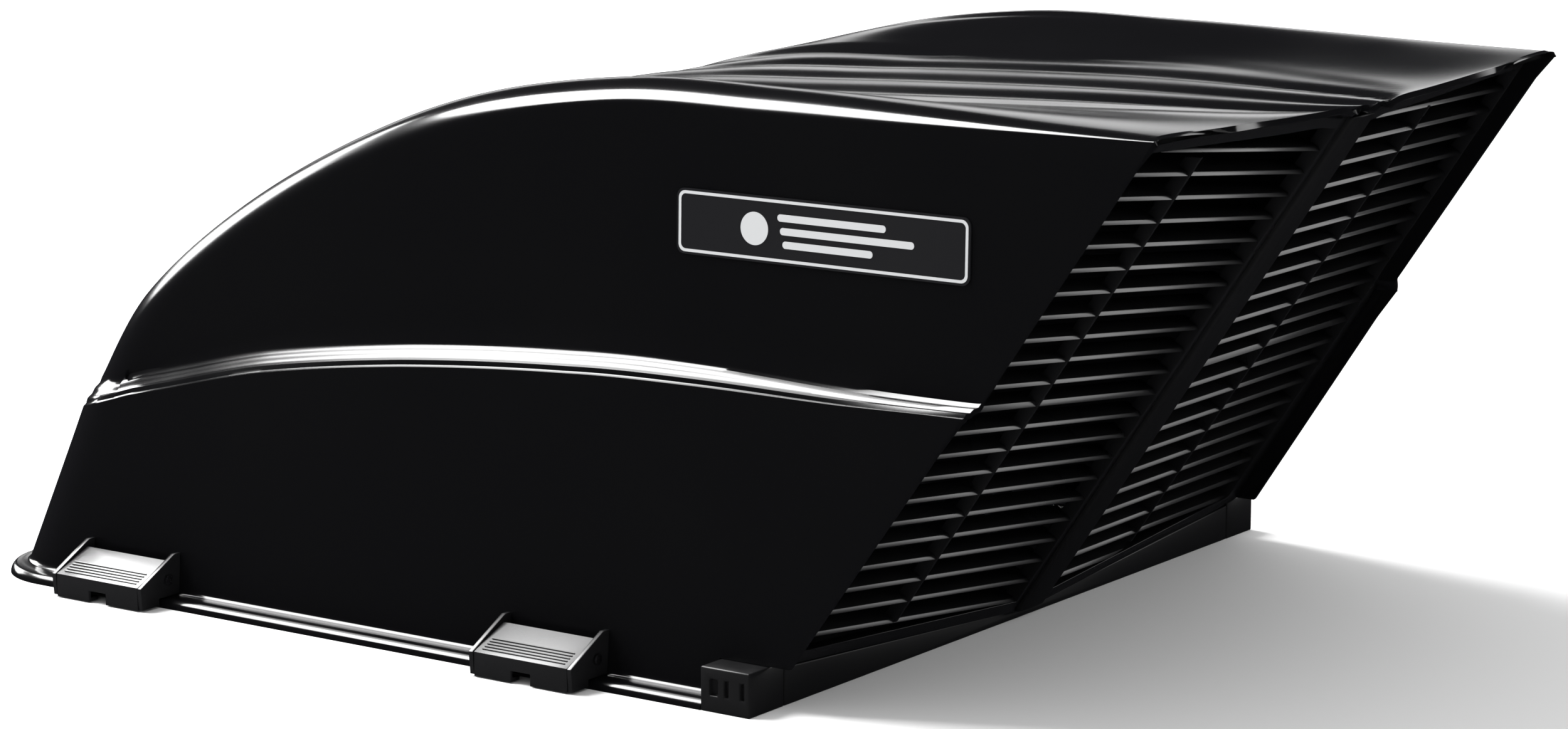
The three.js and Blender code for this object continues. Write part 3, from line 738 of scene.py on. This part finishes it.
def printed(width, height, corner, x, z, raised, thick):
    """A flat plate with round corners, `raised` off the label's back, with its middle at x, z."""
    bpy.ops.mesh.primitive_cube_add(size=1)
    made = bpy.context.object
    for v in made.data.vertices:
        v.co = (v.co.x * width, -(raised + thick * (0.5 - v.co.y)), v.co.z * height)
    select_edges(made, lambda a, b: abs(a.y - b.y) > thick / 2)
    bpy.ops.object.mode_set(mode="EDIT")
    bpy.ops.mesh.bevel(offset=corner, segments=8)
    bpy.ops.object.mode_set(mode="OBJECT")
    for v in made.data.vertices:
        v.co += Vector((x, 0, z))
    return made


def ring_of(plate, inner_width, inner_height, corner):
    """Takes a smaller rounded plate out of the middle of a printed plate."""
    tool_front, tool_deep = -0.01, 0.03
    tool = printed(inner_width, inner_height, corner, 0, 0, tool_front, tool_deep)
    opening = plate.modifiers.new("opening", "BOOLEAN")
    opening.operation, opening.solver, opening.object = "DIFFERENCE", "EXACT", tool
    take(plate)
    bpy.ops.object.modifier_apply(modifier="opening")
    bpy.data.objects.remove(tool)
    return plate


bpy.ops.object.select_all(action="DESELECT")
film = printed(label_long, label_high, film_corner, 0, 0, 0, film_thick)
border = ring_of(
    printed(label_long - border_inset, label_high - border_inset, border_corner, 0, 0,
            film_thick, print_rise),
    label_long - opening_inset, label_high - opening_inset, opening_corner)
bpy.ops.mesh.primitive_cylinder_add(vertices=40, radius=disc_radius, depth=print_rise)
disc = bpy.context.object
for v in disc.data.vertices:
    v.co = (v.co.x + disc_x, -(film_thick + print_rise / 2) + v.co.z, v.co.y)
streaks = [printed(length, streak_wide, streak_corner, x, z, film_thick, print_rise)
           for length, x, z in streak_places]
film.data.materials.append(label_film)
for part in (border, disc, *streaks):
    part.data.materials.append(label_silver)
label = join([film, border, disc, *streaks], "label")
for v in label.data.vertices:
    z = label_middle.z + v.co.z
    v.co = (label_middle.x + v.co.x, -upper_y(z) - glue + v.co.y, z)
bpy.ops.object.shade_smooth_by_angle(angle=crease)
fit(label, "root", "label_plate", "label")

# ---- Clips -----------------------------------------------------------------------------------
# Four spring clips on the rim: a saddle riveted to the flange, and a thumb lever on a steel pin
# whose tail hooks under a bracket on the roof. Glass-filled nylon, with cross ribs on the thumb
# plate for grip.
clip_black = plastic("clip_black", (0.007, 0.007, 0.0075), 0.24, 0.000005, 0.00002, 0.5)
saddle_round, lever_round = 0.0005, 0.0006
rib_count, rib_first, rib_pitch = 5, 0.0030, 0.0021
rib_length, rib_wide, rib_high, rib_taper = 0.050, 0.0009, 0.0005, 0.55
plate_foot, plate_head = Vector((0, -0.014, 0.0126)), Vector((0, 0.0086, 0.0226))
slope = (plate_head - plate_foot).normalized()
square_up = Vector((0, -slope.z, slope.y))


def placed(piece, at, side):
    """Moves a piece modelled in the clip's own frame (y inward from the rim's edge) to place."""
    turn = Matrix.Rotation(0 if side < 0 else math.pi, 4, "Z")
    piece.data.transform(Matrix.Translation(at) @ turn)


def grip_rib(i, at, side):
    """Cross rib i up the thumb plate, narrower at its top."""
    bpy.ops.mesh.primitive_cube_add(size=1)
    made = bpy.context.object
    middle = plate_foot + slope * (rib_first + rib_pitch * i)
    for v in made.data.vertices:
        narrow = rib_taper if v.co.z > 0 else 1
        v.co = (middle + Vector((v.co.x * rib_length, 0, 0)) + slope * v.co.y * rib_wide * narrow
                + square_up * (v.co.z * 2 * rib_high))
    placed(made, at, side)
    return made


for place, (at, side) in clip_places.items():
    saddle = softened(place + "_saddle", place + "_clip_saddle", saddle_round)
    fit(saddle, "root", place + "_clip_saddle", "clip", clip_black)
    plate = softened(place + "_lever_plate", place + "_clip_lever", lever_round)
    ribs = [grip_rib(i, at, side) for i in range(rib_count)]
    lever = join([plate, *ribs], place + "_lever_plate")
    fit(lever, place + "_lever", place + "_clip_lever", "clip", clip_black)

# ---- Pins, springs and rivets ----------------------------------------------------------------
# Stainless steel hardware: a headed pin pushed through each clip, a torsion spring wound round
# it that shuts the lever, and two rivets that hold each saddle to the flange.
pin_round, rivet_round = 0.0003, 0.0005
pin_y, pin_z = 0.0055, 0.0135
coil_radius, wire, turns, coil_length, coil_middle = 0.0024, 0.00042, 6, 0.0052, 0.0095

# Metal grain: fine streaks that widen the gloss, and stand a little above the surface.
metal_grain, grain_in, grain_out = node_group(
    "metal_grain",
    [("Vector", "NodeSocketVector"), ("Roughness", "NodeSocketFloat"),
     ("Spread", "NodeSocketFloat")],
    [("Roughness", "NodeSocketFloat"), ("Height", "NodeSocketFloat")])
streak = metal_grain.nodes.new("ShaderNodeTexNoise")
streak.inputs["Scale"].default_value, streak.inputs["Detail"].default_value = 1800, 3
metal_grain.links.new(grain_in.outputs["Vector"], streak.inputs["Vector"])
wider = metal_grain.nodes.new("ShaderNodeMath")
wider.operation = "MULTIPLY_ADD"
metal_grain.links.new(streak.outputs["Fac"], wider.inputs[0])
metal_grain.links.new(grain_in.outputs["Spread"], wider.inputs[1])
metal_grain.links.new(grain_in.outputs["Roughness"], wider.inputs[2])
metal_grain.links.new(wider.outputs["Value"], grain_out.inputs["Roughness"])
metal_grain.links.new(streak.outputs["Fac"], grain_out.inputs["Height"])


def metal(name, colour, roughness, spread, bump_height):
    """A bare or plated metal with the metal group's grain."""
    values = {"Roughness": roughness, "Spread": spread}
    made, shader = surfaced(name, colour, metal_grain, values, bump_height)
    shader.inputs["Metallic"].default_value = 1
    return made


def coil_path():
    """The wire, from a leg on the saddle's floor, round the pin, to a leg under the plate."""
    start, end = coil_middle + coil_length / 2, coil_middle - coil_length / 2
    leg_y, floor_z, steps = pin_y - coil_radius, 0.0076, 20
    path = [(start, leg_y, floor_z), (start, leg_y, pin_z - 0.001)]
    for i in range(turns * steps + 1):
        angle = math.pi + 2 * math.pi * i / steps
        path.append((coil_middle + coil_length * (0.5 - i / (turns * steps)),
                     pin_y + coil_radius * math.cos(angle),
                     pin_z - coil_radius * math.sin(angle)))
    return path + [(end, leg_y - 0.0015, pin_z - 0.0006), (end, leg_y - 0.0090, pin_z - 0.0014)]


def coil_spring(place):
    """A round wire along the coil's path, as a mesh in the clip's own frame."""
    path = coil_path()
    curve = bpy.data.curves.new(place + "_coil", "CURVE")
    curve.dimensions, curve.use_fill_caps = "3D", True
    curve.bevel_depth, curve.bevel_resolution = wire, 2
    line = curve.splines.new("POLY")
    line.points.add(len(path) - 1)
    for point, co in zip(line.points, path):
        point.co = (*co, 1)
    made = bpy.data.objects.new(place + "_spring", curve)
    bpy.context.scene.collection.objects.link(made)
    take(made)
    bpy.ops.object.convert(target="MESH")
    return bpy.context.object


bright_steel = metal("bright_steel", (0.62, 0.62, 0.61), 0.18, 0.15, 0.000004)
spring_wire = metal("spring_wire", (0.52, 0.52, 0.53), 0.25, 0.15, 0.000004)
for place, (at, side) in clip_places.items():
    pin = softened(place + "_pin", place + "_clip_pin", pin_round, 3)
    fit(pin, "root", place + "_clip_pin", "pin_steel", bright_steel)
    for i in ("1", "2"):
        rivet = softened(place + "_rivet_head_" + i, place + "_rivet_" + i, rivet_round, 4)
        fit(rivet, "root", place + "_rivet_" + i, "rivet_steel", bright_steel)
    spring = coil_spring(place)
    placed(spring, at, side)
    bpy.ops.object.shade_smooth()
    fit(spring, "root", place + "_clip_spring", "pin_steel", spring_wire)

# ---- Roof brackets and screws ----------------------------------------------------------------
# A zinc-plated steel angle beside the vent for each clip, bent from flat bar and held to the
# roof by two cross-head screws.
zinc_plate = metal("zinc_plate", (0.50, 0.51, 0.52), 0.35, 0.25, 0.00001)
bracket_round, screw_round = 0.0005, 0.0004
for place in clip_places:
    for part, edge in (("roof_bracket", bracket_round), ("bracket_screw_1", screw_round),
                       ("bracket_screw_2", screw_round)):
        node = place + "_" + part
        fit(softened(node + "_piece", node, edge, 3), "root", node, "zinc", zinc_plate)
